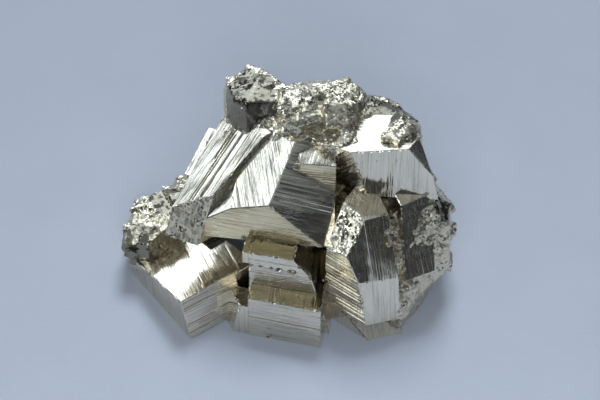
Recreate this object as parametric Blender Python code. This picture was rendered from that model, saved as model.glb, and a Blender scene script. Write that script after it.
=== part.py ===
"""Pyrite: one natural piece, a cluster of cubes grown into each other, as a single faceted solid.

Metres, +Z up. The cluster stands on its flat base at z = 0, with the origin under the middle of
its box. Lengths below are in millimetres and become metres when a mesh is made.

A crystal face is named by the way it looks, as two angles in degrees: an azimuth, where 0 looks
along -Y, 90 along +X and 180 along +Y, and an elevation above the horizon. A crystal is a corner
point and its faces, each with its distance out from that corner. The large blocks share nearly
one lattice, so most azimuths are close to -12, 78, 168 or -102.
"""

import math
import random

import bmesh
import bpy
from mathutils import Euler, Matrix, Vector, noise
from mathutils.bvhtree import BVHTree

MM = 0.001

# ------------------------------------------------------------------ driving dimensions, in mm

# The middle of the box in the frame in which the crystals are laid out.
CENTRE = (-1.84, 4.94)

# Heights of the two treads of the stair in front, and of the crown's front corner above them.
LOW_TREAD = 8.6
HIGH_TREAD = 15.6
CROWN = 23.5

# Striae: how far a ledge stands out of its face.
LEDGE = 0.28

# Small crystals on the rough masses: how many, their edges, and how deep they sit, in edges.
SMALL_COUNT = 130
SMALL_EDGE = (1.6, 4.2)
SMALL_SUNK = 0.2
SMALL_FLOOR = 2.5
SMALL_SEED = 13

# Azimuths of the lattice's four upright faces.
LATTICE = (-12, 78, 168, -102)

# Flat faces of a rough mass: how many, their distance out in reaches, and their elevations.
FLATS = 30
FLAT_AT = (0.74, 0.96)
FLAT_LIFTS = (-25, 8, 42, 78)

# A block before its faces are cut, larger than any crystal.
ROUGH_BLOCK = 120.0

# The finish of fresh pyrite.
COLOUR = (0.74, 0.715, 0.64, 1.0)
ROUGHNESS = 0.18

# ------------------------------------------------------------------------------- helpers


def facing(azimuth, elevation):
    """Unit vector that looks along an azimuth and an elevation."""
    turn = math.radians(azimuth)
    lift = math.radians(elevation)
    level = math.cos(lift)
    return Vector((math.sin(turn) * level, -math.cos(turn) * level, math.sin(lift)))


def new_collection(name):
    """Collection linked under the scene."""
    made = bpy.data.collections.new(name)
    bpy.context.scene.collection.children.link(made)
    return made


def add_solid(name, shape, collection):
    """Object in metres from a bmesh laid out in millimetres, which is freed."""
    bmesh.ops.scale(shape, verts=shape.verts, vec=(MM, MM, MM))
    mesh = bpy.data.meshes.new(name)
    shape.to_mesh(mesh)
    shape.free()
    made = bpy.data.objects.new(name, mesh)
    collection.objects.link(made)
    return made


def as_helper(item):
    """Mark an object as one that the finished cluster is only made from."""
    item.hide_render = True
    item.display_type = "WIRE"


def add_boolean(body, name, operation, collection):
    """Boolean of the body with every object of a collection."""
    modifier = body.modifiers.new(name, "BOOLEAN")
    modifier.operation = operation
    modifier.operand_type = "COLLECTION"
    modifier.collection = collection
    modifier.solver = "EXACT"


# ------------------------------------------------------------------------------ crystals


def cut_face(shape, point, normal):
    """Take away what lies in front of a plane and close the cut with one flat face."""
    everything = shape.verts[:] + shape.edges[:] + shape.faces[:]
    cut = bmesh.ops.bisect_plane(
        shape, geom=everything, dist=1e-6, plane_co=point, plane_no=normal, clear_outer=True
    )
    rim = [item for item in cut["geom_cut"] if isinstance(item, bmesh.types.BMEdge)]
    if rim:
        bmesh.ops.edgeloop_fill(shape, edges=rim)


def raise_ledge(shape, normal, across, point, start, end, height):
    """Part the face that looks along normal by two lines and lift the strip between them."""
    for offset in (start, end):
        faces = [face for face in shape.faces if face.normal.dot(normal) > 0.9995]
        around = list({item for face in faces for item in (*face.verts, *face.edges)})
        bmesh.ops.bisect_plane(
            shape, geom=around + faces, dist=1e-6, plane_co=point + across * offset, plane_no=across
        )
    strip = []
    for face in shape.faces:
        offset = (face.calc_center_median() - point).dot(across)
        if face.normal.dot(normal) > 0.9995 and start < offset < end:
            strip.append(face)
    if not strip:
        return
    lifted = bmesh.ops.extrude_face_region(shape, geom=strip)
    moved = [item for item in lifted["geom"] if isinstance(item, bmesh.types.BMVert)]
    bmesh.ops.translate(shape, verts=moved, vec=normal * height)
    bmesh.ops.delete(shape, geom=strip, context="FACES_KEEP_BOUNDARY")


def ledges(first, last, count, seed):
    """Uneven parallel ledges between two offsets, one in each equal share: start, end, height."""
    pick = random.Random(seed)
    share = (last - first) / count
    made = []
    for index in range(count):
        start = first + share * (index + pick.uniform(0.05, 0.35))
        made.append((start, start + share * pick.uniform(0.25, 0.55), LEDGE * pick.uniform(0.7, 1.4)))
    return made


def crystal(collection, name, corner, faces, striated=()):
    """Block bounded by flat faces, some of them striated: (face, way across, ledges)."""
    corner = Vector(corner)
    shape = bmesh.new()
    bmesh.ops.create_cube(shape, size=ROUGH_BLOCK)
    bmesh.ops.translate(shape, verts=shape.verts, vec=corner)
    for azimuth, elevation, out in faces:
        normal = facing(azimuth, elevation)
        cut_face(shape, corner + normal * out, normal)
    for face_index, way_across, steps in striated:
        azimuth, elevation, out = faces[face_index]
        normal = facing(azimuth, elevation)
        across = facing(*way_across)
        across = (across - normal * across.dot(normal)).normalized()
        for start, end, height in steps:
            raise_ledge(shape, normal, across, corner + normal * out, start, end, height)
    bmesh.ops.recalc_face_normals(shape, faces=shape.faces)
    return add_solid(name, shape, collection)


def add_toe(pieces):
    """The low block at the left, with its corner to the front, and the ledge beside its top."""
    corner = (-20.0, -14.5, 8.3)
    crystal(
        pieces,
        "toe",
        corner,
        [(-129, 78, 0), (35, 11.5, 0), (-54, -3, 0), (125, -11.5, 11.2), (-145, -11.5, 18), (0, -90, 20)],
        [(0, (108, -11), ledges(0.5, 10.5, 6, 1)), (1, (35, -78), ledges(0.6, 7.6, 4, 2))],
    )
    crystal(
        pieces,
        "toe_ledge",
        corner,
        [(-129, 78, -0.7), (35, 11.5, -0.25), (125, -11.5, 15), (-145, -11.5, 9), (-54, -3, -3), (0, -90, 20)],
    )


def add_stair(pieces):
    """Two steps in the middle of the front, the small crystal beside the lower, and the upper's shelf."""
    crystal(
        pieces,
        "lower_step",
        (3.5, -17.0, LOW_TREAD),
        [(0, 90, 0), (-14, 4, 0), (82, 0, 0), (-98, 0, 12.6), (166, 0, 14), (0, -90, 20)],
    )
    crystal(
        pieces,
        "front_boss",
        (-9.2, -13.4, 6.0),
        [(-16, 9, 0), (-66, 14, 0.8), (-42, 46, 0.3), (0, 90, 0), (80, 0, 4), (160, 0, 4), (0, -90, 12)],
    )
    crystal(
        pieces,
        "upper_step",
        (-1.5, -11.6, HIGH_TREAD),
        [(0, 90, 0), (-12, 5, 0), (80, 42, 0.3), (84, 16, 2.3), (-98, 0, 7.2), (166, 0, 14), (0, -90, 20)],
    )
    crystal(
        pieces,
        "shelf",
        (-1.5, -11.5, HIGH_TREAD - 0.1),
        [(0, 90, 0), (-12, 5, 0), (80, 42, 0), (-98, 0, 8.3), (166, 0, 14), (0, -90, 2.4)],
    )


def add_crown(pieces):
    """The block that overhangs the stair, and the striated slope to the left of it."""
    crystal(
        pieces,
        "crown",
        (-5.1, -6.9, CROWN),
        [
            (-12, 5, 0),
            (-35, 56, 0),
            (27.5, 41, 0),
            (-60, 47.8, 2.0),
            (12, -80, 8.0),
            (180, 0, 14),
            (-100, -10, 14),
            (90, 0, 11),
            (-20, 84, 5.3),
        ],
        [(1, (-90, -20), ledges(1.5, 6.5, 4, 5)), (2, (165, 40), ledges(1.0, 9.0, 5, 15))],
    )
    crystal(
        pieces,
        "left_slope",
        (-9.1, -1.1, CROWN + 3.7),
        [
            (-70, 55.6, 0),
            (38.7, 0, -1.1),
            (-120, 5, 9.4),
            (-23.5, 20, 2.95),
            (150, 20, 12),
            (0, -90, 13.8),
            (0, 85, 2.4),
        ],
        [(0, (42, 14), ledges(-9.0, -1.4, 6, 6))],
    )


def add_right_cube(pieces):
    """The cube high on the right, and the smaller one set back between it and the crown."""
    crystal(
        pieces,
        "right_cube",
        (17.8, -2.3, CROWN + 8.5),
        [
            (-130, 82, 0),
            (-2.6, 4.9, 0),
            (60, 36, 0),
            (110, 10, 2.7),
            (-35, -6, 5.2),
            (-10, -75, 10.3),
            (170, 0, 9),
        ],
        [(1, (88, 0), ledges(-8.0, -0.6, 4, 8))],
    )
    crystal(
        pieces,
        "inset_cube",
        (5.0, -2.1, CROWN + 4.5),
        [(-5.4, 0, 0), (0, 82, 0), (95, 0, 1), (-85, 0, 5), (180, 0, 8), (0, -90, 12)],
        [(0, (0, 66), ledges(-4.5, -1.2, 2, 9))],
    )


def add_right_blocks(pieces):
    """The tall block low on the right, its sloping foot, and the striated block behind it."""
    crystal(
        pieces,
        "right_block",
        (11.2, -15.7, 3.5),
        [
            (-39, 1.2, 0),
            (18, 11.4, 0),
            (20, 28, 2.6),
            (-45, 45, 9.7),
            (0, -84, 0),
            (110, 0, 6.2),
            (160, 0, 16),
            (10, 86, 17.9),
            (-120, 0, 9),
        ],
        [(0, (0, 90), ledges(1.0, 13.0, 6, 21)), (2, (110, 0), ledges(0.5, 5.5, 3, 22))],
    )
    crystal(
        pieces,
        "right_foot",
        (11.1, -15.6, 0.3),
        [(-39, 1.2, -0.05), (15, 53, 0), (115, 0, 6.5), (160, 0, 14), (0, -90, 5), (-120, 0, 8.5)],
    )
    crystal(
        pieces,
        "flank_block",
        (20.4, -8.0, 15.0),
        [(25, 29, 0), (-65, 10, 3.4), (112, -9.5, 2.4), (0, 80, 6.5), (160, 0, 12), (25, -60, 5)],
        [(0, (115, 0), ledges(-2.8, 2.0, 3, 23))],
    )


def add_back_blocks(pieces):
    """Three larger blocks on the far side, on the same lattice as the steps in front."""
    crystal(
        pieces,
        "back_block",
        (9.0, 22.5, 20.0),
        [(168, 4, 0), (78, 0, 0), (0, 86, 0), (-102, 0, 13), (-12, 0, 14), (170, -80, 12)],
        [(0, (78, 0), ledges(-11.5, -1.0, 5, 31))],
    )
    crystal(
        pieces,
        "back_low",
        (-5.5, 22.0, 10.5),
        [(160, 8, 0), (70, 0, 0), (0, 84, 0), (-110, 0, 12), (-20, 0, 12), (0, -90, 12)],
        [(0, (0, 90), ledges(-8.5, -1.0, 4, 32))],
    )
    crystal(
        pieces,
        "back_right",
        (21.5, 11.0, 9.0),
        [(110, 6, 0), (20, 0, 6), (0, 82, 0), (-160, 0, 0), (-70, 0, 12), (0, -90, 10)],
    )


# --------------------------------------------------------------------------- rough masses


def lump(collection, name, centre, radii, detail, seed, cuts=()):
    """Rough mass between the crystals: a ball swollen by noise, then cut by flat faces at random.

    Its cuts are further flat faces that keep it clear of a crystal: (point, azimuth, elevation).
    """
    coarse = 0.16
    fine = 0.37
    swelling = 0.14
    pick = random.Random(seed)
    radii = Vector(radii)
    centre = Vector(centre)
    shift = Vector((seed * 7.3, seed * 3.1, seed * 5.7))
    shape = bmesh.new()
    bmesh.ops.create_icosphere(shape, subdivisions=detail, radius=1.0)
    for vert in shape.verts:
        place = vert.co * radii
        swell = noise.noise(place * coarse + shift) + 0.5 * noise.noise(place * fine + shift)
        vert.co = place * (1.0 + swelling * swell)
    for _ in range(FLATS):
        normal = facing(pick.choice(LATTICE) + pick.gauss(0, 26), pick.choice(FLAT_LIFTS) + pick.gauss(0, 13))
        reach = Vector(a * b for a, b in zip(normal, radii)).length
        cut_face(shape, normal * reach * pick.uniform(*FLAT_AT), normal)
    for point, azimuth, elevation in cuts:
        cut_face(shape, Vector(point) - centre, facing(azimuth, elevation))
    bmesh.ops.translate(shape, verts=shape.verts, vec=centre)
    return add_solid(name, shape, collection)


def add_rough_masses(pieces):
    """The grainy masses that the crystals stand out of; the small crystals grow on these."""
    clear_of_toe = {
        "core": [((-15, 1.8, 6), -40, 15)],
        "left_knob": [((-23.8, -0.6, 6), 45.5, 12)],
        "left_back": [((-20.4, 6, 5.5), -40, 12)],
    }
    rows = [
        ("core", (1.5, 11, 14), (18.5, 12, 18), 4, 1),
        ("left_knob", (-25, 4.5, 4.5), (6.2, 10, 7), 3, 2),
        ("left_back", (-18, 9, 5), (10, 6, 6.5), 3, 7),
        ("left_shoulder", (-12.5, 9, 16), (6, 6.5, 8.5), 3, 14),
        ("right_flank", (17.5, 0, 11), (9.8, 11.5, 12.5), 3, 3),
        ("lower_right", (14, -5, 4.5), (9.5, 10, 8), 3, 4),
        ("crown_middle", (0, 9, 25), (12, 8, 8.5), 3, 8),
        ("top_left", (-6.5, 11.5, 28.4), (8.0, 7.6, 7.2), 3, 5),
        ("top_middle", (2.5, 9.5, 29.2), (10.5, 7.4, 6.8), 3, 9),
        ("top_saddle", (6.5, 3.2, 29), (4.5, 4.5, 3.6), 2, 16),
        ("top_right", (12, 9, 26.4), (8, 6, 5.6), 3, 6),
        ("top_corner", (17.2, 3, 30.3), (3.3, 5.2, 3.8), 2, 10),
    ]
    return [lump(pieces, *row, clear_of_toe.get(row[0], ())) for row in rows]


def tree_and_triangles(item):
    """Ray-casting tree of an object's mesh, with its triangles and their areas."""
    shape = bmesh.new()
    shape.from_mesh(item.data)
    bmesh.ops.triangulate(shape, faces=shape.faces)
    tree = BVHTree.FromBMesh(shape)
    triangles = []
    for face in shape.faces:
        triangles.append((face.calc_area(), face.normal.copy(), [vert.co.copy() for vert in face.verts]))
    shape.free()
    return tree, triangles


def add_small_crystals(pieces, masses):
    """Little cubes half sunk in the open faces of the rough masses, a little off the lattice."""
    pick = random.Random(SMALL_SEED)
    surfaces = {item.name: tree_and_triangles(item) for item in pieces.objects}
    triangles = [triangle for item in masses for triangle in surfaces[item.name][1]]
    areas = [triangle[0] for triangle in triangles]
    made = 0
    while made < SMALL_COUNT:
        _, normal, (first, second, third) = pick.choices(triangles, areas)[0]
        along = pick.random() ** 0.5
        place = first.lerp(second.lerp(third, pick.random()), along)
        blocked = any(tree.ray_cast(place + normal * 0.1 * MM, normal)[0] for tree, _ in surfaces.values())
        if blocked or place.z < SMALL_FLOOR * MM:
            continue
        edge = SMALL_EDGE[0] + (SMALL_EDGE[1] - SMALL_EDGE[0]) * pick.random() ** 2
        seat = place / MM - normal * edge * SMALL_SUNK
        turn = Euler((pick.gauss(0.15, 0.3), pick.gauss(0.1, 0.3), pick.gauss(-0.2, 0.5)))
        shape = bmesh.new()
        bmesh.ops.create_cube(shape, size=edge, matrix=Matrix.LocRotScale(seat, turn, None))
        add_solid(f"small_{made:03d}", shape, pieces)
        made += 1


# -------------------------------------------------------------------------------- hollows


def add_hollows(hollows):
    """Pits between the crystals, each the shape of a flattened ball."""
    places = {
        "crescent": ((3.4, 2.4, 31.2), (3.4, 2.4, 1.3)),
        "cave": ((13.6, -3.4, 20.2), (3.6, 3.4, 1.3)),
        "knob_pit": ((-25.5, -1.0, 12.0), (1.7, 2.2, 1.6)),
        "top_pit": ((-6.0, 5.6, 34.4), (1.8, 1.8, 1.4)),
        "flank_pit": ((15.0, -9.5, 18.5), (1.4, 1.8, 1.8)),
    }
    for name, (centre, radii) in places.items():
        shape = bmesh.new()
        bmesh.ops.create_icosphere(shape, subdivisions=2, radius=1.0)
        bmesh.ops.scale(shape, verts=shape.verts, vec=radii)
        bmesh.ops.translate(shape, verts=shape.verts, vec=centre)
        add_solid(name, shape, hollows)


def add_ground(hollows):
    """Everything under the level of the base, which leaves the flat that the cluster stands on."""
    shape = bmesh.new()
    bmesh.ops.create_cube(shape, size=ROUGH_BLOCK)
    bmesh.ops.translate(shape, verts=shape.verts, vec=(0, 0, -ROUGH_BLOCK / 2))
    add_solid("ground", shape, hollows)


# ------------------------------------------------------------------------------- assembly


def pyrite_material():
    """Bright, slightly warm metal."""
    material = bpy.data.materials.new("pyrite")
    material.use_nodes = True
    shader = material.node_tree.nodes["Principled BSDF"]
    shader.inputs["Base Color"].default_value = COLOUR
    shader.inputs["Roughness"].default_value = ROUGHNESS
    shader.inputs["Metallic"].default_value = 1.0
    return material


def main():
    for item in list(bpy.data.objects):
        bpy.data.objects.remove(item, do_unlink=True)
    pyrite = new_collection("pyrite")
    pieces = new_collection("pieces grown together")
    hollows = new_collection("hollows and ground")

    add_toe(pieces)
    add_stair(pieces)
    add_crown(pieces)
    add_right_cube(pieces)
    add_right_blocks(pieces)
    add_back_blocks(pieces)
    masses = add_rough_masses(pieces)
    add_small_crystals(pieces, masses)
    add_hollows(hollows)
    add_ground(hollows)
    for item in (*pieces.objects, *hollows.objects):
        item.location = (-CENTRE[0] * MM, -CENTRE[1] * MM, 0)
        as_helper(item)

    core = masses[0]
    pieces.objects.unlink(core)
    core.name = "pyrite_cluster"
    core.hide_render = False
    core.display_type = "TEXTURED"
    pyrite.objects.link(core)
    core.data.materials.append(pyrite_material())
    add_boolean(core, "grow together", "UNION", pieces)
    add_boolean(core, "hollow and cut flat", "DIFFERENCE", hollows)


main()
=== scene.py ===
"""Pyrite cluster: cubes grown into each other, with striated faces and rough masses between them.

Everything is in metres in the frame of the CAD part, +Z up, and stands on the floor at z = 0.
Lengths in the tables are millimetres. A crystal face is named by the way it looks: an azimuth,
where 0 looks along -Y, 90 along +X and 180 along +Y, then an elevation above the horizon.
"""

import math
import random

import bmesh
import bpy
from mathutils import Euler, Matrix, Vector, noise


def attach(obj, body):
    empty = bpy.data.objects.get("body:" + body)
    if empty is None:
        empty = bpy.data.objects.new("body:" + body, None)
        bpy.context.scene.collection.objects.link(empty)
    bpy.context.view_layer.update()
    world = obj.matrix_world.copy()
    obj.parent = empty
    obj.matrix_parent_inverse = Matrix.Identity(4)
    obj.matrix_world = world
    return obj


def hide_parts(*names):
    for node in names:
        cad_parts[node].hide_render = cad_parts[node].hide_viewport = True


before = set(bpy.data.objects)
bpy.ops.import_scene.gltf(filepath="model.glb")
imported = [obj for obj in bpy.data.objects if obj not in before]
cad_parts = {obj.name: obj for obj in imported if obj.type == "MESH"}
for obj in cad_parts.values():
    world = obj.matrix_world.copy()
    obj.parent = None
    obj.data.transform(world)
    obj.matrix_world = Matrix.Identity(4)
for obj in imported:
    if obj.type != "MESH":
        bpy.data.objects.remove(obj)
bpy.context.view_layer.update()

MM = 0.001

# ------------------------------------------------------------------ the cluster's own values

# The middle of the cluster in the frame in which its crystals are laid out.
CENTRE = Vector((-1.84, 4.94, 0.0))

# Heights of the two treads of the stair in front, and of the crown's front corner above them.
LOW_TREAD = 8.6
HIGH_TREAD = 15.6
CROWN = 23.5

# A block before its faces are cut.
ROUGH_BLOCK = 120.0

# Azimuths of the lattice's four upright faces.
LATTICE = (-12, 78, 168, -102)

# Name: corner, faces as (azimuth, elevation, distance out from the corner), and striae as
# {face: (way across, from, to, ledges, height)}.
CRYSTALS = {
    "toe": (
        (-20.0, -14.5, 8.3),
        [
            (-129, 78, 0),
            (35, 11.5, 0),
            (-54, -3, 0),
            (125, -11.5, 11.2),
            (-145, -11.5, 18),
            (0, -90, 20),
        ],
        {0: ((108, -11), 0.4, 10.8, 37, 0.12), 1: ((35, -78), 0.4, 7.8, 20, 0.12)},
    ),
    "toe_ledge": (
        (-20.0, -14.5, 8.3),
        [
            (-129, 78, -0.7),
            (35, 11.5, -0.25),
            (125, -11.5, 15),
            (-145, -11.5, 9),
            (-54, -3, -3),
            (0, -90, 20),
        ],
        {0: ((108, -11), 11.4, 14.8, 10, 0.14)},
    ),
    "lower_step": (
        (3.5, -17.0, LOW_TREAD),
        [(0, 90, 0), (-14, 4, 0), (82, 0, 0), (-98, 0, 12.6), (166, 0, 14), (0, -90, 20)],
        {0: ((82, 0), -9.6, -0.4, 26, 0.34), 1: ((0, 90), -7.5, -0.6, 5, 0.06)},
    ),
    "front_boss": (
        (-9.2, -13.4, 6.0),
        [
            (-16, 9, 0),
            (-66, 14, 0.8),
            (-42, 46, 0.3),
            (0, 90, 0),
            (80, 0, 4),
            (160, 0, 4),
            (0, -90, 12),
        ],
        {},
    ),
    "upper_step": (
        (-1.5, -11.6, HIGH_TREAD),
        [
            (0, 90, 0),
            (-12, 5, 0),
            (80, 42, 0.3),
            (84, 16, 2.3),
            (-98, 0, 7.2),
            (166, 0, 14),
            (0, -90, 20),
        ],
        {1: ((0, 90), -5.6, -1.0, 5, 0.06), 2: ((-10, 0), 0.5, 5.0, 6, 0.08)},
    ),
    "shelf": (
        (-1.5, -11.5, HIGH_TREAD - 0.1),
        [(0, 90, 0), (-12, 5, 0), (80, 42, 0), (-98, 0, 8.3), (166, 0, 14), (0, -90, 2.4)],
        {},
    ),
    "crown": (
        (-5.1, -6.9, CROWN),
        [
            (-12, 5, 0),
            (-35, 56, 0),
            (27.5, 41, 0),
            (-60, 47.8, 2.0),
            (12, -80, 8.0),
            (180, 0, 14),
            (-100, -10, 14),
            (90, 0, 11),
            (-20, 84, 5.3),
        ],
        {
            0: ((0, 90), -7.0, -0.6, 6, 0.05),
            1: ((-90, -20), 0.6, 7.2, 34, 0.18),
            2: ((165, 40), 0.6, 9.6, 34, 0.2),
            3: ((-150, 5), -1.0, 4.0, 8, 0.12),
        },
    ),
    "left_slope": (
        (-9.1, -1.1, CROWN + 3.7),
        [
            (-70, 55.6, 0),
            (38.7, 0, -1.1),
            (-120, 5, 9.4),
            (-23.5, 20, 2.95),
            (150, 20, 12),
            (0, -90, 13.8),
            (0, 85, 2.4),
        ],
        {0: ((42, 14), -9.6, -1.3, 44, 0.26), 3: ((66, 0), -11, 1, 23, 0.18)},
    ),
    "right_cube": (
        (17.8, -2.3, CROWN + 8.5),
        [
            (-130, 82, 0),
            (-2.6, 4.9, 0),
            (60, 36, 0),
            (110, 10, 2.7),
            (-35, -6, 5.2),
            (-10, -75, 10.3),
            (170, 0, 9),
        ],
        {1: ((88, 0), -8.6, -0.3, 18, 0.24), 4: ((-120, 40), -6.0, 6.0, 34, 0.2)},
    ),
    "inset_cube": (
        (5.0, -2.1, CROWN + 4.5),
        [(-5.4, 0, 0), (0, 82, 0), (95, 0, 1), (-85, 0, 5), (180, 0, 8), (0, -90, 12)],
        {0: ((0, 66), -7.0, -0.6, 13, 0.12)},
    ),
    "right_block": (
        (11.2, -15.7, 3.5),
        [
            (-39, 1.2, 0),
            (18, 11.4, 0),
            (20, 28, 2.6),
            (-45, 45, 9.7),
            (0, -84, 0),
            (110, 0, 6.2),
            (160, 0, 16),
            (10, 86, 17.9),
            (-120, 0, 9),
        ],
        {
            0: ((0, 90), 0.5, 14.5, 37, 0.1),
            1: ((110, 0), 0.4, 5.6, 8, 0.06),
            2: ((110, 0), 0.3, 5.8, 24, 0.22),
        },
    ),
    "right_foot": (
        (11.1, -15.6, 0.3),
        [(-39, 1.2, -0.05), (15, 53, 0), (115, 0, 6.5), (160, 0, 14), (0, -90, 5), (-120, 0, 8.5)],
        {},
    ),
    "flank_block": (
        (20.4, -8.0, 15.0),
        [(25, 29, 0), (-65, 10, 3.4), (112, -9.5, 2.4), (0, 80, 6.5), (160, 0, 12), (25, -60, 5)],
        {0: ((115, 0), -3.2, 2.2, 22, 0.24)},
    ),
    "back_block": (
        (9.0, 22.5, 20.0),
        [(168, 4, 0), (78, 0, 0), (0, 86, 0), (-102, 0, 13), (-12, 0, 14), (170, -80, 12)],
        {0: ((78, 0), -12.4, -0.5, 30, 0.12), 1: ((0, 90), -11, -0.5, 20, 0.1)},
    ),
    "back_low": (
        (-5.5, 22.0, 10.5),
        [(160, 8, 0), (70, 0, 0), (0, 84, 0), (-110, 0, 12), (-20, 0, 12), (0, -90, 12)],
        {0: ((0, 90), -9.8, -0.4, 23, 0.1), 2: ((70, 0), -11, -0.5, 20, 0.1)},
    ),
    "back_right": (
        (21.5, 11.0, 9.0),
        [(110, 6, 0), (20, 0, 6), (0, 82, 0), (-160, 0, 0), (-70, 0, 12), (0, -90, 10)],
        {0: ((20, 0), -6, 6, 17, 0.1), 2: ((110, 0), -10, -0.5, 15, 0.1)},
    ),
}

# Finishes, by their place in an object's slots.
BRIGHT, GRAINED, SMOOTH, PAINTED_BRASS = range(4)

# Crystal faces that are not bright: given a brass tint, which is a painted reflection of light
# bounced between neighbouring pyrite faces, or broken across their striae.
FACE_FINISH = {
    ("crown", 0): PAINTED_BRASS,
    ("inset_cube", 0): PAINTED_BRASS,
    ("lower_step", 0): PAINTED_BRASS,
    ("upper_step", 0): PAINTED_BRASS,
    ("shelf", 0): PAINTED_BRASS,
    ("right_block", 3): GRAINED,
    ("left_slope", 3): GRAINED,
}

# Rough masses that the crystals stand out of: centre, radii, steps of subdivision, seed, and
# flat cuts that keep them clear of a crystal, as (point, azimuth, elevation).
MASSES = {
    "core": ((1.5, 11, 14), (18.5, 12, 18), 4, 1, [((-15, 1.8, 6), -40, 15)]),
    "left_knob": ((-25, 4.5, 4.5), (6.2, 10, 7), 3, 2, [((-23.8, -0.6, 6), 45.5, 12)]),
    "left_back": ((-18, 9, 5), (10, 6, 6.5), 3, 7, [((-20.4, 6, 5.5), -40, 12)]),
    "left_shoulder": ((-12.5, 9, 16), (6, 6.5, 8.5), 3, 14, []),
    "right_flank": ((17.5, 0, 11), (9.8, 11.5, 12.5), 3, 3, []),
    "lower_right": ((14, -5, 4.5), (9.5, 10, 8), 3, 4, []),
    "crown_middle": ((0, 9, 25), (12, 8, 8.5), 3, 8, []),
    "top_left": ((-6.5, 11.5, 28.4), (8.0, 7.6, 7.2), 3, 5, []),
    "top_middle": ((2.5, 9.5, 29.2), (10.5, 7.4, 6.8), 3, 9, []),
    "top_saddle": ((6.5, 3.2, 29), (4.5, 4.5, 3.6), 2, 16, []),
    "top_right": ((12, 9, 26.4), (8, 6, 5.6), 3, 6, []),
    "top_corner": ((17.2, 3, 30.3), (3.3, 5.2, 3.8), 2, 10, []),
}

# Flat cuts at random through each rough mass: how many, how deep as a share of its reach, the
# elevations that they look at, and how far they stray from these and from the lattice's azimuths.
FLATS = 30
FLAT_AT = (0.74, 0.96)
FLAT_LIFTS = (-25, 8, 42, 78)
FLAT_STRAY = (26, 13)

# Swelling of a rough mass as a share of its radii, the waves to the millimetre of its noise, and
# how far each seed moves the noise.
SWELL = 0.14
SWELL_WAVES = (0.16, 0.37)
SWELL_SHIFT = (7.3, 3.1, 5.7)

# Hollows between the crystals: centre, radii.
HOLLOWS = (
    ((3.4, 2.4, 31.2), (3.4, 2.4, 1.3)),
    ((13.6, -3.4, 20.2), (3.6, 3.4, 1.3)),
    ((-25.5, -1.0, 12.0), (1.7, 2.2, 1.6)),
    ((-6.0, 5.6, 34.4), (1.8, 1.8, 1.4)),
    ((15.0, -9.5, 18.5), (1.4, 1.8, 1.8)),
)

# Worn edge of a crystal.
EDGE = 0.11

# A way that no edge lies across, which tells an edge's two directions apart.
ALWAYS_FORWARD = Vector((0.62, 0.53, 0.58))

# Chips broken from the worn edges: least and greatest size, and how far apart. Shares of the
# size: how deep each bites, its length, its depth, and where its corners are. Then its turn.
CHIP = (0.16, 0.85)
CHIP_SPACING = 0.9
CHIP_BITE = (0.25, 0.5)
CHIP_LENGTH = (0.8, 1.8)
CHIP_DEPTH = (0.7, 1.2)
CHIP_CORNERS = (0.72, 1.05)
CHIP_TURN = 0.25

# Growth ledges of a striated face. Shares of the width that each has: where it starts and how wide
# it is. How many stop short, and where. Shares of the face's height: how far a ledge stands out,
# which way, and how far its top leans.
LEDGE_START = (0.0, 0.35)
LEDGE_WIDTH = (0.2, 0.6)
LEDGES_SHORT = 0.6
LEDGE_STOP = (-3.0, 5.0)
LEDGE_HEIGHT = (0.3, 1.2)
LEDGE_SIGN = (1, 1, -0.6)
LEDGE_LEAN = (-0.3, 0.3)

# Small cubes in the rough masses: how many, least and greatest edge, how far their sides differ,
# mean and spread of each turn, share that is sunk, and how far they keep from floor and crystals.
BLOCKS = 110
BLOCK_EDGE = (1.0, 3.6)
BLOCK_SIDES = (0.7, 1.3)
BLOCK_TURN = ((0.15, 0.3), (0.1, 0.3), (-0.2, 0.5))
BLOCK_SUNK = 0.3
BLOCK_LOWEST = 2.5
BLOCK_CLEAR = 0.4

# Facets of the rough masses.
SKIN = 0.36

# Grains of the rough masses: name, what of each cell shows, shape of the cells, size, height.
GRAINS = (
    ("small crystals", "POSITION", "DISTANCE", 2.4, 0.9),
    ("grains", "POSITION", "DISTANCE", 1.1, 0.5),
    ("fine grains", "INTENSITY", "CHEBYCHEV", 0.8, 0.3),
)

# How grained a rough mass is: mean and least, and noises as (share, waves to the millimetre).
GRAINED_MEAN = 0.6
GRAINED_LEAST = 0.05
GRAINED_WAVES = ((1.8, 0.16), (0.8, 0.5))

# Places where the rough masses are smooth and dark: middle, reach. Then the noise of their edge.
SMOOTH_PLACES = (
    ((-8.5, 10.5, 32.5), 6.3),
    ((-21.5, 8.5, 11.0), 5.6),
    ((15.5, 8.0, 30.5), 5.2),
    ((24.0, -2.0, 18.0), 3.5),
    ((-29.0, 0.0, 6.0), 5.2),
)
SMOOTH_EDGE = 0.9
SMOOTH_WAVES = (0.35, 0.4)

# Angles between facets, in degrees, above which an edge shows as sharp.
CRYSTAL_SHARP = 22
ROUGH_SHARP = 9

# Thread spacing and height of the cloth's weave, the waves to a metre of its cloudiness, and what
# a wave texture's scale is for bands one unit apart.
THREAD = 0.34
WEAVE_RELIEF = 0.05
CLOTH_CLOUDS = 60.0
WAVE = 0.314

# Noises of a growth face, for its bands, its hairlines and the places where they are strong: waves
# to the millimetre across and along the striae, detail, roughness. Then the height of the relief,
# and as shares of it, the step between terraces and the height of the hairlines.
GROWTH_NOISES = (
    ((0.55, 0.035, 1.0), 5.0, 0.7),
    ((2.6, 0.11, 1.0), 3.0, 0.6),
    ((0.16, 0.09, 1.0), 2.0, 0.5),
)
STRIAE_RELIEF = 0.19
TERRACE = 0.045
HAIR_SHARE = 0.35

# Waves to the millimetre of the drift in colour.
GROWTH_STAINS = 0.16
FRACTURE_STAINS = 0.3

# Lean of the coarse grains of a fracture, as a share of the lean of its fine ones.
COARSE_LEAN = 0.6

# A metre, which is beyond the end of every face.
FAR = 1.0

# ---------------------------------------------------------------------------------- helpers


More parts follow.
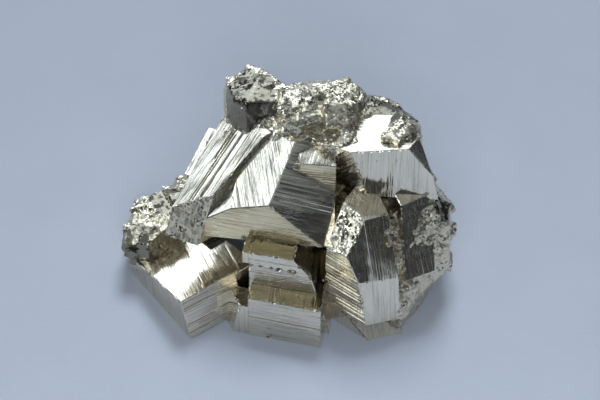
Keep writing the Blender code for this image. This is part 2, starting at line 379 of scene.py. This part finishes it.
def facing(azimuth, elevation):
    """Unit vector that looks along an azimuth and an elevation."""
    turn = math.radians(azimuth)
    lift = math.radians(elevation)
    level = math.cos(lift)
    return Vector((math.sin(turn) * level, -math.cos(turn) * level, math.sin(lift)))


def at(point):
    """A point of the tables, in metres in the part's frame."""
    return (Vector(point) - CENTRE) * MM


def pick(*items):
    """Select these objects alone, with the first of them active."""
    bpy.ops.object.select_all(action="DESELECT")
    for item in items:
        item.select_set(True)
    bpy.context.view_layer.objects.active = items[0]


def settle(*items):
    """Move each object's place into its mesh, so that its own origin is the part's."""
    pick(*items)
    bpy.ops.object.transform_apply(location=True, rotation=True, scale=True)
    return items[0]


def edit(item):
    """Open one object in edit mode."""
    pick(item)
    bpy.ops.object.mode_set(mode="EDIT")


def leave():
    """Back from edit mode."""
    bpy.ops.object.mode_set(mode="OBJECT")


def cut(point, normal):
    """Cut the mesh that is being edited by a plane, and close what lies behind the plane."""
    bpy.ops.mesh.select_all(action="SELECT")
    bpy.ops.mesh.bisect(plane_co=point, plane_no=normal, use_fill=True, clear_outer=True)


def copy_of(pattern):
    """New object with its own copy of another's mesh."""
    item = pattern.copy()
    item.data = pattern.data.copy()
    bpy.context.collection.objects.link(item)
    return item


def apply(item, kind, **settings):
    """Add a modifier with its settings and apply it."""
    bpy.context.view_layer.objects.active = item
    modifier = item.modifiers.new(kind.title(), kind)
    for name, value in settings.items():
        setattr(modifier, name, value)
    bpy.ops.object.modifier_apply(modifier=modifier.name)


def drop_flaps(item):
    """Delete faces that lie back to back on the same corners, and so hold nothing between them."""
    edit(item)
    mesh = bmesh.from_edit_mesh(item.data)
    by_corners = {}
    for face in mesh.faces:
        face.select_set(False)
        by_corners.setdefault(frozenset(vert.index for vert in face.verts), []).append(face)
    for pair in by_corners.values():
        if len(pair) == 2:
            for face in pair:
                face.select_set(True)
    bpy.ops.mesh.delete(type="ONLY_FACE")
    bpy.ops.mesh.select_all(action="SELECT")
    bpy.ops.mesh.delete_loose(use_verts=True, use_edges=True, use_faces=False)
    leave()


def boolean(item, operation, others):
    """Join other closed shapes to this one, or take them away, and delete them."""
    group = bpy.data.collections.new("others")
    for other in others:
        group.objects.link(other)
    apply(
        item,
        "BOOLEAN",
        operation=operation,
        operand_type="COLLECTION",
        collection=group,
        solver="EXACT",
    )
    for other in others:
        bpy.data.objects.remove(other)
    bpy.data.collections.remove(group)
    drop_flaps(item)


def finish_slots(item, indices):
    """Give an object the finishes in one order, and each of its faces one of them."""
    item.data.materials.clear()
    for finish in FINISHES:
        item.data.materials.append(finish)
    item.data.polygons.foreach_set("material_index", indices)


def in_order(polygons):
    """Faces in order of place, which is the same each time that the shape is made."""
    return sorted(polygons, key=lambda polygon: [round(part / MM, 3) for part in polygon.center])


def ball(centre, radii, subdivisions):
    """Flattened ball, in the tables' millimetres."""
    bpy.ops.mesh.primitive_ico_sphere_add(
        subdivisions=subdivisions, radius=1.0, location=at(centre)
    )
    item = bpy.context.object
    item.scale = Vector(radii) * MM
    return settle(item)


# --------------------------------------------------------------------------------- crystals


def depth(point, corner, faces):
    """How far a point is outside a crystal, in metres; negative within it."""
    return max((point - at(corner)).dot(facing(a, e)) - out * MM for a, e, out in faces)


def basis(corner, face, way):
    """A point on a crystal face, its normal, the way across its striae and the way along them."""
    azimuth, elevation, out = face
    normal = facing(azimuth, elevation)
    across = facing(*way)
    across = (across - normal * across.dot(normal)).normalized()
    return at(corner) + normal * out * MM, normal, across, normal.cross(across)


def select_strip(item, point, normal, across, start, end, along=None, limit=0.0):
    """Select the parts of a face between two offsets across it, and short of a limit along it."""
    same_way, same_plane = 0.99995, 0.01 * MM
    mesh = bmesh.from_edit_mesh(item.data)
    for face in mesh.faces:
        face.select_set(False)
    found = False
    for face in mesh.faces:
        if face.normal.dot(normal) < same_way:
            continue
        middle = face.calc_center_median() - point
        inside = start < middle.dot(across) < end and abs(middle.dot(normal)) < same_plane
        if inside and (along is None or middle.dot(along) < limit):
            face.select_set(True)
            found = True
    bmesh.update_edit_mesh(item.data)
    return found


def tilt_strip(item, normal, across, rise):
    """Lift the selected ledge along one of its long edges, so that its top leans."""
    mesh = bmesh.from_edit_mesh(item.data)
    verts = [vert for vert in mesh.verts if vert.select]
    if not verts:
        return
    offsets = [vert.co.dot(across) for vert in verts]
    middle = (min(offsets) + max(offsets)) / 2
    for vert in verts:
        if vert.co.dot(across) < middle:
            vert.select_set(False)
    mesh.select_flush(False)
    bpy.ops.transform.translate(value=normal * rise)


def striate(item, corner, face, striae, seed):
    """Cut a face into strips and raise or sink some of them as growth ledges."""
    way, first, last, count, height = striae
    point, normal, across, along = basis(corner, face, way)
    choice = random.Random(seed)
    share = (last - first) / count
    for index in range(count):
        start = (first + share * (index + choice.uniform(*LEDGE_START))) * MM
        end = start + share * choice.uniform(*LEDGE_WIDTH) * MM
        for offset in (start, end):
            if select_strip(item, point, normal, across, -FAR, FAR):
                bpy.ops.mesh.bisect(plane_co=point + across * offset, plane_no=across)
        if not select_strip(item, point, normal, across, start, end):
            continue
        limit = FAR
        flip = choice.choice((-1, 1))
        if choice.random() < LEDGES_SHORT:
            limit = choice.uniform(*LEDGE_STOP) * MM
            bpy.ops.mesh.bisect(plane_co=point + along * flip * limit, plane_no=along * flip)
        if not select_strip(item, point, normal, across, start, end, along * flip, limit):
            continue
        lift = height * choice.uniform(*LEDGE_HEIGHT) * choice.choice(LEDGE_SIGN) * MM
        bpy.ops.mesh.extrude_region_move(TRANSFORM_OT_translate={"value": normal * lift})
        tilt_strip(item, normal, across, height * choice.uniform(*LEDGE_LEAN) * MM)


def lay_out_growth(item, corner, faces, striae):
    """UV map of millimetres across and along each crystal face's striae, and its finish."""
    level = 0.3
    ways = []
    for index, (azimuth, elevation, _) in enumerate(faces):
        if index in striae:
            ways.append(striae[index][0])
        elif facing(azimuth, elevation).xy.length < level:
            ways.append((LATTICE[index % len(LATTICE)], 0))
        else:
            ways.append((azimuth + 90, 0))
    across_along = [basis(corner, face, way)[1:] for face, way in zip(faces, ways)]
    growth = item.data.uv_layers.new(name="growth")
    finishes = []
    for polygon in item.data.polygons:
        nearest = max(range(len(faces)), key=lambda i: across_along[i][0].dot(polygon.normal))
        _, across, along = across_along[nearest]
        finishes.append(FACE_FINISH.get((item.name, nearest), BRIGHT))
        for loop in polygon.loop_indices:
            place = item.data.vertices[item.data.loops[loop].vertex_index].co / MM
            growth.data[loop].uv = (place.dot(across), place.dot(along))
    finish_slots(item, finishes)


def worn_places(block, faces, seed):
    """Places spread along a crystal's worn edges: the place, the way out, and the way along."""
    flat, off_floor, inside = 0.999, 0.2 * MM, -0.3 * MM
    choice = random.Random(seed)
    normals = [facing(azimuth, elevation) for azimuth, elevation, _ in faces]
    normals.append(Vector((0, 0, -1)))
    others = [row for name, row in CRYSTALS.items() if name != block.name]
    places = []
    for polygon in in_order(block.data.polygons):
        if max(polygon.normal.dot(normal) for normal in normals) > flat:
            continue
        corners = [block.data.vertices[index].co.copy() for index in polygon.vertices]
        sides = [corners[index] - corners[index - 1] for index in range(len(corners))]
        along = max(sides, key=lambda side: side.length)
        if along.dot(ALWAYS_FORWARD) < 0:
            along = -along
        for _ in range(int(along.length / (CHIP_SPACING * MM))):
            place = polygon.center + along * choice.uniform(-0.5, 0.5)
            open_air = all(depth(place, row[0], row[1]) > inside for row in others)
            if place.z > off_floor and open_air:
                places.append((place, polygon.normal.copy(), along.normalized()))
    return places


def chips(places, seed):
    """Long shallow many-sided solids, one at each place, that break the edges when taken away."""
    choice = random.Random(seed)
    bpy.ops.mesh.primitive_ico_sphere_add(subdivisions=1, radius=1.0)
    pattern = bpy.context.object
    made = []
    for place, normal, along in places:
        chip = copy_of(pattern)
        for vert in chip.data.vertices:
            vert.co *= choice.uniform(*CHIP_CORNERS)
        size = CHIP[0] + (CHIP[1] - CHIP[0]) * choice.random() ** 3
        bite = size * choice.uniform(*CHIP_BITE)
        frame_of = Matrix((along, normal.cross(along), normal)).transposed()
        turn = frame_of @ Euler([choice.gauss(0, CHIP_TURN) for _ in range(3)]).to_matrix()
        length = size * choice.uniform(*CHIP_LENGTH)
        scale = Vector((length, size, size * choice.uniform(*CHIP_DEPTH))) * MM
        seat = place + normal * (scale.z - bite * MM)
        chip.matrix_world = Matrix.LocRotScale(seat, turn, scale)
        made.append(chip)
    bpy.data.objects.remove(pattern)
    settle(*made)
    return made


def crystal(name, number, worn):
    """Block bounded by flat faces, with striae on some; its worn places go into the list."""
    corner, faces, striae = CRYSTALS[name]
    bpy.ops.mesh.primitive_cube_add(size=ROUGH_BLOCK * MM, location=at(corner))
    block = settle(bpy.context.object)
    block.name = name
    edit(block)
    for azimuth, elevation, out in faces:
        normal = facing(azimuth, elevation)
        cut(at(corner) + normal * out * MM, normal)
    bpy.ops.mesh.select_all(action="SELECT")
    bpy.ops.mesh.bevel(offset=EDGE * MM, segments=1, affect="EDGES")
    cut((0, 0, 0), (0, 0, -1))
    leave()
    worn.extend(worn_places(block, faces, number))
    edit(block)
    for index, row in striae.items():
        striate(block, corner, faces[index], row, number * 10 + index)
    bpy.ops.mesh.select_all(action="SELECT")
    bpy.ops.mesh.quads_convert_to_tris(quad_method="BEAUTY", ngon_method="BEAUTY")
    leave()
    lay_out_growth(block, corner, faces, striae)
    return block


# ----------------------------------------------------------------------------- rough masses


def mass(name):
    """Ball swollen by noise, then cut by flat faces at random."""
    centre, radii, detail, seed, cuts = MASSES[name]
    choice = random.Random(seed)
    radii = Vector(radii)
    shift = Vector([seed * part for part in SWELL_SHIFT])
    wide, narrow = SWELL_WAVES
    bpy.ops.mesh.primitive_ico_sphere_add(subdivisions=detail, radius=1.0)
    item = bpy.context.object
    item.name = name
    for vert in item.data.vertices:
        place = vert.co * radii
        swell = noise.noise(place * wide + shift) + 0.5 * noise.noise(place * narrow + shift)
        vert.co = place * (1.0 + SWELL * swell)
    edit(item)
    for _ in range(FLATS):
        azimuth = choice.choice(LATTICE) + choice.gauss(0, FLAT_STRAY[0])
        normal = facing(azimuth, choice.choice(FLAT_LIFTS) + choice.gauss(0, FLAT_STRAY[1]))
        reach = Vector(a * b for a, b in zip(normal, radii)).length
        cut(normal * reach * choice.uniform(*FLAT_AT), normal)
    for point, azimuth, elevation in cuts:
        cut(Vector(point) - Vector(centre), facing(azimuth, elevation))
    leave()
    item.scale = (MM, MM, MM)
    item.location = at(centre)
    return settle(item)


def little_blocks(item, seed):
    """Small cubes half sunk in the open faces of an object, near the lattice."""
    choice = random.Random(seed)
    polygons = in_order(item.data.polygons)
    areas = [polygon.area for polygon in polygons]
    least, greatest = BLOCK_EDGE
    made = []
    bpy.ops.mesh.primitive_cube_add(size=1.0)
    pattern = bpy.context.object
    while len(made) < BLOCKS:
        polygon = choice.choices(polygons, areas)[0]
        corners = sorted((item.data.vertices[i].co for i in polygon.vertices), key=tuple)
        place = polygon.center.lerp(choice.choice(corners), choice.random())
        clear = min(depth(place, row[0], row[1]) for row in CRYSTALS.values())
        if place.z < BLOCK_LOWEST * MM or clear < BLOCK_CLEAR * MM:
            continue
        edge = (least + (greatest - least) * choice.random() ** 2) * MM
        turn = Euler([choice.gauss(*way) for way in BLOCK_TURN])
        sides = Vector([edge * choice.uniform(*BLOCK_SIDES) for _ in range(3)])
        seat = place - polygon.normal * edge * BLOCK_SUNK
        block = copy_of(pattern)
        block.matrix_world = Matrix.LocRotScale(seat, turn, sides)
        made.append(block)
    bpy.data.objects.remove(pattern)
    return made


def hold_back(item):
    """Vertex group of how grained a rough mass is, and the list of which places are not smooth."""
    group = item.vertex_groups.new(name="grained")
    share, waves = SMOOTH_WAVES
    grained = []
    for vert in item.data.vertices:
        place = vert.co / MM + CENTRE
        much = GRAINED_MEAN
        for much_share, much_waves in GRAINED_WAVES:
            much += much_share * noise.noise(place * much_waves)
        near = min((place - Vector(middle)).length / reach for middle, reach in SMOOTH_PLACES)
        near += share * noise.noise(place * waves)
        grained.append(near > SMOOTH_EDGE)
        group.add([vert.index], max(GRAINED_LEAST, min(1.0, much, near**4)), "REPLACE")
    return grained


# -------------------------------------------------------------------------------- materials


def colour(text):
    """Linear colour of an sRGB hex value."""
    parts = [int(text[index : index + 2], 16) / 255 for index in (1, 3, 5)]
    linear = [c / 12.92 if c <= 0.04045 else ((c + 0.055) / 1.055) ** 2.4 for c in parts]
    return (*linear, 1.0)


def add(owner, kind, links=(), **settings):
    """Add a node of a kind with its settings; links are its inputs' values, or sockets to link."""
    made = owner.node_tree.nodes.new(kind)
    for name, value in settings.items():
        setattr(made, name, value)
    for name, value in dict(links).items():
        if isinstance(value, bpy.types.NodeSocket):
            owner.node_tree.links.new(value, made.inputs[name])
        else:
            made.inputs[name].default_value = value
    return made


def surface(name, **constants):
    """Material with constants on its shader's own sockets."""
    material = bpy.data.materials.new(name)
    material.use_nodes = True
    for socket, value in constants.items():
        material.node_tree.nodes["Principled BSDF"].inputs[socket].default_value = value
    return material


def wire(material, sockets):
    """Link sockets to the inputs of a material's shader."""
    shader = material.node_tree.nodes["Principled BSDF"]
    for name, socket in sockets.items():
        material.node_tree.links.new(socket, shader.inputs[name])
    return material


def growth_face(name, pale, deep):
    """Pyrite as it grew: pale brass-white metal with a mirror finish, drawn out into striae.

    The striae are terraces a few hundredths of a millimetre high that run along one way of each
    face, so that a face breaks into bright and dark streaks. Its hairlines are also painted darker
    in the colour itself: painted shade that stands in for light caught between the terraces.
    """
    material = surface(name, Metallic=1.0)
    solid = add(material, "ShaderNodeTexCoord").outputs["Object"]
    flat = add(material, "ShaderNodeUVMap", uv_map="growth").outputs[0]
    drawn_out = []
    for waves, detail, roughness in GROWTH_NOISES:
        place = add(material, "ShaderNodeMapping", {"Vector": flat, "Scale": waves}).outputs[0]
        links = {"Vector": place, "Scale": 1.0, "Detail": detail, "Roughness": roughness}
        drawn_out.append(add(material, "ShaderNodeTexNoise", links).outputs[0])
    bands, hairs, where = drawn_out
    much = add(
        material,
        "ShaderNodeMapRange",
        {"Value": where, "From Min": 0.36, "From Max": 0.6, "To Min": 0.3, "To Max": 1.0},
    ).outputs[0]
    terraces = add(material, "ShaderNodeMath", {0: bands, 1: TERRACE}, operation="SNAP")
    lines = add(
        material,
        "ShaderNodeMath",
        {0: hairs, 1: HAIR_SHARE, 2: terraces.outputs[0]},
        operation="MULTIPLY_ADD",
    )
    relief = add(
        material, "ShaderNodeMath", {0: lines.outputs[0], 1: much}, operation="MULTIPLY"
    )
    bump = add(
        material,
        "ShaderNodeBump",
        {"Height": relief.outputs[0], "Strength": 1.0, "Distance": STRIAE_RELIEF * MM},
    )
    stain = add(
        material,
        "ShaderNodeTexNoise",
        {"Vector": solid, "Scale": GROWTH_STAINS / MM, "Detail": 4.0},
    )
    tone = add(
        material,
        "ShaderNodeMix",
        {"Factor": stain.outputs[0], "A": colour(pale), "B": colour(deep)},
        data_type="RGBA",
    )
    # Painted shade: the hairlines darken the base colour, as if light were caught in the grooves
    # between terraces.
    painted_hairline_shade = add(
        material,
        "ShaderNodeMapRange",
        {"Value": hairs, "From Min": 0.34, "From Max": 0.52, "To Min": 0.62, "To Max": 1.0},
    )
    tone_with_painted_shade = add(
        material,
        "ShaderNodeMix",
        {"Factor": much, "A": tone.outputs["Result"], "B": painted_hairline_shade.outputs[0]},
        data_type="RGBA",
        blend_type="MULTIPLY",
    )
    gloss = add(
        material,
        "ShaderNodeMapRange",
        {"Value": where, "From Min": 0.3, "From Max": 0.7, "To Min": 0.07, "To Max": 0.15},
    )
    return wire(
        material,
        {
            "Base Color": tone_with_painted_shade.outputs["Result"],
            "Roughness": gloss.outputs[0],
            "Normal": bump.outputs[0],
        },
    )


def grained_fracture(name, pale, deep, sizes, lean, gloss):
    """Pyrite broken across: a crust of tiny flat grains, each a mirror that leans its own way.

    The grains have two sizes, in millimetres, and the gloss runs between two roughnesses.
    """
    material = surface(name, Metallic=1.0)
    solid = add(material, "ShaderNodeTexCoord").outputs["Object"]
    leaning = add(material, "ShaderNodeNewGeometry").outputs["Normal"]
    for size, share in zip(sizes, (lean, lean * COARSE_LEAN)):
        cells = add(
            material,
            "ShaderNodeTexVoronoi",
            {"Vector": solid, "Scale": 1 / (size * MM)},
            distance="CHEBYCHEV",
        ).outputs["Color"]
        middle = {0: cells, 1: (0.5, 0.5, 0.5)}
        centred = add(material, "ShaderNodeVectorMath", middle, operation="SUBTRACT").outputs[0]
        links = {0: centred, "Scale": share}
        scaled = add(material, "ShaderNodeVectorMath", links, operation="SCALE").outputs[0]
        links = {0: leaning, 1: scaled}
        leaning = add(material, "ShaderNodeVectorMath", links, operation="ADD").outputs[0]
    unit = add(material, "ShaderNodeVectorMath", {0: leaning}, operation="NORMALIZE")
    stain = add(
        material,
        "ShaderNodeTexNoise",
        {"Vector": solid, "Scale": FRACTURE_STAINS / MM, "Detail": 5.0},
    )
    tone = add(
        material,
        "ShaderNodeMix",
        {"Factor": stain.outputs[0], "A": colour(pale), "B": colour(deep)},
        data_type="RGBA",
    )
    polish = add(
        material,
        "ShaderNodeMapRange",
        {"Value": cells, "From Min": 0.2, "From Max": 0.8, "To Min": gloss[0], "To Max": gloss[1]},
    )
    return wire(
        material,
        {
            "Base Color": tone.outputs["Result"],
            "Roughness": polish.outputs[0],
            "Normal": unit.outputs[0],
        },
    )


def cloth():
    """Pale blue-grey cotton in plain weave, 29 threads to the centimetre."""
    material = surface("plain cotton cloth", Roughness=0.95)
    solid = add(material, "ShaderNodeTexCoord").outputs["Object"]
    links = {"Vector": solid, "Scale": WAVE / (THREAD * MM), "Distortion": 0.6}
    warp, weft = [
        add(material, "ShaderNodeTexWave", links, bands_direction=way).outputs["Fac"]
        for way in ("X", "Y")
    ]
    weave = add(material, "ShaderNodeMath", {0: warp, 1: weft}, operation="ADD")
    cloud = add(
        material, "ShaderNodeTexNoise", {"Vector": solid, "Scale": CLOTH_CLOUDS, "Detail": 6.0}
    )
    tone = add(
        material,
        "ShaderNodeMix",
        {"Factor": cloud.outputs[0], "A": colour("#a6a8b0"), "B": colour("#aeafb7")},
        data_type="RGBA",
    )
    bump = add(
        material,
        "ShaderNodeBump",
        {"Height": weave.outputs[0], "Strength": 0.3, "Distance": WEAVE_RELIEF * MM},
    )
    return wire(material, {"Base Color": tone.outputs["Result"], "Normal": bump.outputs[0]})


# --------------------------------------------------------------------------------- assembly

# In the order of the bright, grained, smooth and brass finishes. The smooth fracture is darker and
# its grains lean less, so it glints in broad patches. The last growth face is warmer, with a brass
# tint: a painted reflection that stands in for light bounced between neighbouring pyrite faces.
FINISHES = (
    growth_face("pyrite growth face", "#f8f0e0", "#ece2cd"),
    grained_fracture(
        "pyrite grained fracture", "#eee5d0", "#ded2b8", (0.34, 1.1), 0.5, (0.16, 0.4)
    ),
    grained_fracture(
        "pyrite dark smooth fracture", "#a39c8c", "#857d6c", (0.5, 2.2), 0.2, (0.12, 0.35)
    ),
    growth_face("pyrite growth face with painted brass reflection", "#f7eccb", "#ecdcb4"),
)

worn = []
blocks = [crystal(name, number, worn) for number, name in enumerate(CRYSTALS)]
cutters = chips(worn, seed=4)
crystals = blocks[0]
boolean(crystals, "UNION", blocks[1:])
cutters += [ball(centre, radii, subdivisions=2) for centre, radii in HOLLOWS]
for cutter in cutters:
    finish_slots(cutter, [GRAINED] * len(cutter.data.polygons))
boolean(crystals, "DIFFERENCE", cutters)
crystals.name = "striated_crystals"

masses = [mass(name) for name in MASSES]
rough = masses[0]
boolean(rough, "UNION", masses[1:])
hollows = [ball(centre, radii, subdivisions=3) for centre, radii in HOLLOWS]
boolean(rough, "DIFFERENCE", hollows)
rough.name = "rough_masses"
pick(rough, *little_blocks(rough, seed=12))
bpy.ops.object.join()
apply(rough, "REMESH", mode="VOXEL", voxel_size=SKIN * MM)

grained = hold_back(rough)
for name, look, kind, size, height in GRAINS:
    grain = bpy.data.textures.new(name, "VORONOI")
    grain.color_mode = look
    grain.distance_metric = kind
    grain.noise_scale = size * MM
    apply(
        rough,
        "DISPLACE",
        texture=grain,
        texture_coords="LOCAL",
        vertex_group="grained",
        strength=height * MM,
        mid_level=0.5,
    )
edit(rough)
mesh = bmesh.from_edit_mesh(rough.data)
for vert in mesh.verts:
    vert.select_set(vert.co.z < 0)
bpy.ops.transform.resize(value=(1, 1, 0), center_override=(0, 0, 0))
leave()
finish_slots(
    rough, [GRAINED if grained[polygon.vertices[0]] else SMOOTH for polygon in rough.data.polygons]
)

for piece, sharp in ((crystals, CRYSTAL_SHARP), (rough, ROUGH_SHARP)):
    pick(piece)
    bpy.ops.object.shade_smooth_by_angle(angle=math.radians(sharp))
    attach(piece, "root")
    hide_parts("pyrite_cluster")

# ----------------------------------------------------------------------------------- studio

# Metres, and watts. Softboxes: azimuth, elevation, distance, width, height, power, and whether it
# is a card that shows in the crystals' faces, or a lamp that lights the floor.
FLOOR = 1.6
DAYLIGHT = (0.78, 0.89, 1.0)
SOFTBOXES = (
    (-168, 38, 0.6, 0.66, 0.44, 2.05, True),
    (-168, 33, 0.55, 0.10, 0.06, 0.08, True),
    (-94, 38, 0.6, 0.5, 0.4, 1.25, True),
    (-95, 42, 0.55, 0.08, 0.08, 0.15, True),
    (170, 60, 1.4, 0.5, 0.5, 17.0, False),
    (0, 35, 0.26, 0.12, 0.12, 0.4, False),
)

# The camera looks at this point, from this far in millimetres and this high in degrees.
AIM = at((0, 0, 18))
CAMERA_AWAY = 283
CAMERA_LIFT = 45

bpy.ops.mesh.primitive_plane_add(size=FLOOR, location=(0, 0, 0))
floor = bpy.context.object
floor.name = "floor"
floor.data.materials.append(cloth())

for azimuth, elevation, distance, width, height, power, shows in SOFTBOXES:
    data = bpy.data.lights.new("softbox", "AREA")
    data.shape = "RECTANGLE"
    data.size, data.size_y = width, height
    data.energy = power
    data.color = DAYLIGHT
    lamp = bpy.data.objects.new("softbox", data)
    bpy.context.scene.collection.objects.link(lamp)
    way = facing(azimuth, elevation)
    lamp.location = way * distance
    lamp.rotation_euler = way.to_track_quat("Z", "Y").to_euler()
    lamp.visible_glossy = shows
    lamp.visible_diffuse = not shows

# A dark studio, lighter overhead than along its walls.
world = bpy.data.worlds.new("dark studio")
bpy.context.scene.world = world
world.use_nodes = True
around = add(world, "ShaderNodeTexCoord").outputs["Generated"]
upwards = add(world, "ShaderNodeSeparateXYZ", {0: around}).outputs["Z"]
overhead = add(
    world,
    "ShaderNodeMapRange",
    {"Value": upwards, "From Min": 0.5, "From Max": 1.0, "To Min": 0.045, "To Max": 0.42},
)
background = world.node_tree.nodes["Background"]
background.inputs["Color"].default_value = (*DAYLIGHT, 1.0)
world.node_tree.links.new(overhead.outputs[0], background.inputs["Strength"])

camera = bpy.data.objects.new("camera", bpy.data.cameras.new("camera"))
bpy.context.scene.collection.objects.link(camera)
camera.data.lens = 100
camera.data.clip_start = 0.01
towards = facing(0, CAMERA_LIFT)
camera.location = AIM + towards * CAMERA_AWAY * MM
camera.rotation_euler = towards.to_track_quat("Z", "Y").to_euler()
bpy.context.scene.camera = camera
bpy.context.scene.view_settings.view_transform = "Standard"
